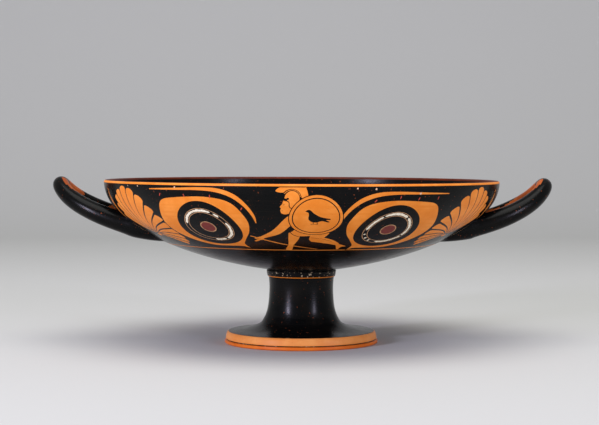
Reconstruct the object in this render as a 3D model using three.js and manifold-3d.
// A Greek kylix: a broad, shallow drinking cup of fired clay on a stemmed foot, with two
// looped handles that rise a little above its lip. Bowl, stem and foot were thrown on a wheel
// and joined while damp, and the handles were pulled and pressed on before firing, so the
// whole cup is one solid body, open in the bowl and hollowed under the foot.
//
// Millimetres, +Z up. The origin is the middle of the foot's resting ring. The handles lie
// along +X and -X, and the front of the cup faces -Y.

import * as THREE from 'three';
import { mergeVertices } from 'three/addons/utils/BufferGeometryUtils.js';
import Module from 'manifold-3d';

const wasm = await Module();
wasm.setup();

// ---------------------------------------------------------------- driving dimensions

const RIM_RADIUS = 165;
const RIM_HEIGHT = 136.5;

// The bowl's outside is one rounded curve. It drops BOWL_DROP from the lip to where it would
// close on the axis, and the two powers say how full its side and its bottom are.
const BOWL_DROP = 77.2;
const SIDE_POWER = 2.08;
const BOTTOM_POWER = 1.54;

const LIP_WALL = 3.8;      // wall thickness at the lip
const SIDE_WALL = 4.6;     // and halfway down the bowl
const FLOOR_WALL = 6.6;    // and over the stem

const BOWL_END = 32.5;         // inside this radius the bowl's underside rises to its neck
// The short neck under the bowl, and the sharp-edged ring below it.
const NECK_AND_RING = [[26.5, 63], [26.5, 61.2], [29.2, 60.9], [28.5, 56.4]];

// The stem and the top of the foot are one hollow curve: how far out, and how high.
const STEM_CURVE = [
  [27.4, 55], [26.8, 47], [27.3, 36], [28.6, 27.4], [31.2, 20.8], [35.2, 15.8], [46, 12],
];
// The edge of the foot, from its sharp upper arris down: an upright band, a fine groove, and
// a narrower toe that swells a little more.
const FOOT_EDGE = [
  [61.7, 9.7], [62.5, 8.9], [63.3, 5.7], [63.4, 3.6], [63, 3.1], [64.3, 2.3], [64.2, 0.7],
];
// The flat ring that the cup rests on: its outer and inner edge.
const REST_RING = [[63.4, 0], [55.5, 0]];

// The hollow turned into the underside of the foot and up into the stem.
const HOLLOW = [
  [52.5, 2.6], [38, 5.2], [26, 9.4], [19.5, 15.5], [16.6, 24], [14.4, 37], [8, 43.8], [0, 45],
];

// A handle's centre line runs from its root near the bowl's floor out to the tip of the loop
// and back. It is widest over most of its way and round at the tip.
const HANDLE_ROOT_OUT = 108;        // from the cup's axis
const HANDLE_TIP_OUT = 200.8;
const HANDLE_HALF_SPREAD = 35;
const HANDLE_ROUNDNESS = 2.6;       // 2 would make the loop half an ellipse in top view
const HANDLE_ROOT_HEIGHT = 96.2;
const HANDLE_TIP_HEIGHT = 132.2;
const HANDLE_EVEN_RISE = 0.83;      // this share of the rise is spread along the loop,
const HANDLE_UPTURN_POWER = 13;     // and the rest comes as an upturn close to the tip
const HANDLE_ROOT_RADIUS = 9;
const HANDLE_TIP_RADIUS = 6.6;
const HANDLE_THINNING_POWER = 1.3;

// The two handles were bent by hand. The loop at +X came out narrower, longer and with more
// of its rise towards the tip, and both are turned a little about X, so their rear arms sit
// lower.
const HANDLES = [
  { side: -1, spread: 1, reach: 1.2, dip: 0.8, risePower: 1.9 },
  { side: 1, spread: 0.95, reach: 2.6, dip: 1.5, risePower: 2.15 },
];
const HANDLE_DIP_HEIGHT = 98;

// The cup sank a little to one side in the kiln: above its foot it leans towards +X.
const LEAN = 0.22;             // degrees
const LEAN_FROM = 12;          // the lean begins at this height
const LEAN_FULL = 60;          // and is whole at this one

// ---------------------------------------------------------------- fineness of the faces

const TURN_STEPS = 64;
const OUTSIDE_STEPS = 14;
const INSIDE_STEPS = 10;
const LIP_STEPS = 3;
const STEM_STEPS = 9;
const HANDLE_STEPS = 36;
const HANDLE_SIDES = 12;

// ---------------------------------------------------------------- the wheel-thrown profile

// Lists of [radius, height] above become points of the profile here.
function profilePoints(list) {
  return list.map(([radius, height]) => new THREE.Vector2(radius, height));
}

// A point of the bowl's outer curve. At 0 it is on the lip, and at 1 on the axis.
function outsidePoint(along) {
  const sink = Math.sin(along * Math.PI / 2);
  const radius = RIM_RADIUS * (1 - sink ** SIDE_POWER) ** (1 / BOTTOM_POWER);
  return new THREE.Vector2(radius, RIM_HEIGHT - BOWL_DROP * sink);
}

// How far the outer curve has been followed when its radius has shrunk to this one.
function alongAtRadius(radius) {
  const sink = (1 - (radius / RIM_RADIUS) ** BOTTOM_POWER) ** (1 / SIDE_POWER);
  return Math.asin(sink) * 2 / Math.PI;
}

function wallAt(along) {
  const upper = THREE.MathUtils.lerp(LIP_WALL, SIDE_WALL, Math.min(along * 2, 1));
  return THREE.MathUtils.lerp(upper, FLOOR_WALL, THREE.MathUtils.smoothstep(along, 0.5, 1));
}

// The same place seen from inside the wall: share 0 is the outer face, and 1 the inner face.
function wallPoint(along, share) {
  const here = outsidePoint(along);
  const ahead = outsidePoint(Math.min(along + 0.001, 1));
  const behind = outsidePoint(Math.max(along - 0.001, 0));
  const run = ahead.sub(behind).normalize();
  const inward = new THREE.Vector2(run.y, -run.x);
  return here.addScaledVector(inward, wallAt(along) * share);
}

// The inner face, from the middle of the floor up to just under the lip.
function insideFace(share) {
  const lowest = wallPoint(alongAtRadius(2), share).y;
  const face = [new THREE.Vector2(0, lowest)];
  for (let step = INSIDE_STEPS - 1; step >= 1; step -= 1) {
    face.push(wallPoint(step / INSIDE_STEPS, share));
  }
  return face;
}

// The lip is rounded over from the inner face to the outer one.
function lipCrown() {
  const half = LIP_WALL / 2;
  const crown = [];
  for (let step = 0; step <= LIP_STEPS; step += 1) {
    const turn = Math.PI * (1 - step / LIP_STEPS);
    crown.push(new THREE.Vector2(
      RIM_RADIUS - half + half * Math.cos(turn),
      RIM_HEIGHT - half + half * Math.sin(turn),
    ));
  }
  return crown;
}

function outsideFace() {
  const last = alongAtRadius(BOWL_END);
  const face = [];
  for (let step = 1; step <= OUTSIDE_STEPS; step += 1) {
    face.push(outsidePoint(last * step / OUTSIDE_STEPS));
  }
  return face;
}

// From the neck under the bowl down to the top of the foot's disc.
function stemFace() {
  const curve = new THREE.SplineCurve(profilePoints(STEM_CURVE));
  return [...profilePoints(NECK_AND_RING), ...curve.getPoints(STEM_STEPS)];
}

// ---------------------------------------------------------------- solids

// A closed geometry becomes a solid once its shared vertices are one, and the faces that
// close up to a line on the axis are gone.
function solidOf(geometry) {
  const bare = geometry.clone();
  bare.deleteAttribute('normal');
  bare.deleteAttribute('uv');
  const merged = mergeVertices(bare, 1e-4);
  const index = merged.index.array;
  const faces = [];
  for (let i = 0; i < index.length; i += 3) {
    const [a, b, c] = [index[i], index[i + 1], index[i + 2]];
    if (a !== b && b !== c && c !== a) faces.push(a, b, c);
  }
  return new wasm.Manifold(new wasm.Mesh({
    numProp: 3,
    vertProperties: new Float32Array(merged.attributes.position.array),
    triVerts: new Uint32Array(faces),
  }));
}

function geometryOf(solid) {
  const mesh = solid.getMesh();
  const geometry = new THREE.BufferGeometry();
  geometry.setAttribute('position', new THREE.BufferAttribute(mesh.vertProperties, 3));
  geometry.setIndex(new THREE.BufferAttribute(mesh.triVerts, 1));
  geometry.computeVertexNormals();
  return geometry;
}

// LatheGeometry turns its profile about Y, so the result is stood up to turn about Z.
function turned(profile) {
  return new THREE.LatheGeometry(profile, TURN_STEPS).rotateX(Math.PI / 2);
}

function thrownBody() {
  const profile = [
    ...profilePoints(HOLLOW).reverse(),
    ...profilePoints(REST_RING).reverse(),
    ...profilePoints(FOOT_EDGE).reverse(),
    ...stemFace().reverse(),
    ...outsideFace().reverse(),
    ...lipCrown().reverse(),
    ...insideFace(1).reverse(),
  ];
  return solidOf(turned(profile));
}

// Everything inside the middle of the bowl's wall. The handles' ends are cut back to it, so
// they end in the clay of the wall and none shows in the bowl.
function bowlFilling() {
  const profile = insideFace(0.5);
  const top = RIM_HEIGHT + 1;
  profile.push(new THREE.Vector2(RIM_RADIUS - LIP_WALL / 2, top));
  profile.push(new THREE.Vector2(0, top));
  return solidOf(turned(profile));
}

// The centre line of a handle, from the near root round the tip to the far root.
class HandleLine extends THREE.Curve {
  constructor(spread, risePower) {
    super();
    this.halfSpread = HANDLE_HALF_SPREAD * spread;
    this.risePower = risePower;
  }

  getPoint(share, target = new THREE.Vector3()) {
    const turn = Math.PI * (share - 0.5);
    const toTip = Math.max(Math.cos(turn), 0);
    const aside = this.halfSpread * Math.sqrt(1 - toTip ** HANDLE_ROUNDNESS);
    const rise = HANDLE_EVEN_RISE * toTip ** this.risePower
      + (1 - HANDLE_EVEN_RISE) * toTip ** HANDLE_UPTURN_POWER;
    return target.set(
      THREE.MathUtils.lerp(HANDLE_ROOT_OUT, HANDLE_TIP_OUT, toTip),
      Math.sign(turn) * aside,
      THREE.MathUtils.lerp(HANDLE_ROOT_HEIGHT, HANDLE_TIP_HEIGHT, rise),
    );
  }
}

function handleRadius(share) {
  const toTip = 1 - Math.abs(2 * share - 1);
  const thinned = toTip ** HANDLE_THINNING_POWER;
  return THREE.MathUtils.lerp(HANDLE_ROOT_RADIUS, HANDLE_TIP_RADIUS, thinned);
}

// A round rod swept along the loop, thinned from the roots towards the tip.
function handleRod(line) {
  const section = new THREE.Shape();
  section.absarc(0, 0, 1, 0, Math.PI * 2);
  const rod = new THREE.ExtrudeGeometry(section, {
    steps: HANDLE_STEPS, curveSegments: HANDLE_SIDES / 2, bevelEnabled: false, extrudePath: line,
  });
  const centres = line.getSpacedPoints(HANDLE_STEPS);
  const position = rod.attributes.position;
  const corner = new THREE.Vector3();
  for (let i = 0; i < position.count; i += 1) {
    corner.fromBufferAttribute(position, i);
    const distances = centres.map((centre) => centre.distanceTo(corner));
    const nearest = distances.indexOf(Math.min(...distances));
    const centre = centres[nearest];
    corner.sub(centre).multiplyScalar(handleRadius(nearest / HANDLE_STEPS)).add(centre);
    position.setXYZ(i, corner.x, corner.y, corner.z);
  }
  return rod;
}

function placedHandle({ side, spread, reach, dip, risePower }) {
  const rod = handleRod(new HandleLine(spread, risePower));
  rod.translate(reach, 0, -HANDLE_DIP_HEIGHT);
  // The loop is alike on both sides of its middle plane, so a half turn serves the other side.
  if (side < 0) rod.rotateZ(Math.PI);
  rod.rotateX(-THREE.MathUtils.degToRad(dip));
  rod.translate(0, 0, HANDLE_DIP_HEIGHT);
  return solidOf(rod);
}

// Turns what is above the foot about Y, by LEAN, growing from nothing at LEAN_FROM.
function leaned(solid) {
  const slope = Math.tan(THREE.MathUtils.degToRad(LEAN));
  return solid.warp((vertex) => {
    const [x, , z] = vertex;
    const share = THREE.MathUtils.smoothstep(z, LEAN_FROM, LEAN_FULL);
    vertex[0] = x + share * slope * (z - LEAN_FROM);
    vertex[2] = z - share * slope * x;
  });
}

// ---------------------------------------------------------------- the cup

const filling = bowlFilling();
let cup = thrownBody();
for (const handle of HANDLES) {
  cup = cup.add(placedHandle(handle).subtract(filling));
}

const gloss = new THREE.MeshStandardMaterial({
  name: 'black_gloss_and_fired_clay', color: 0x14120f, roughness: 0.22, metalness: 0,
});
const kylix = new THREE.Mesh(geometryOf(leaned(cup)), gloss);
kylix.name = 'kylix';

const part = new THREE.Group();
part.add(kylix);
export default part;
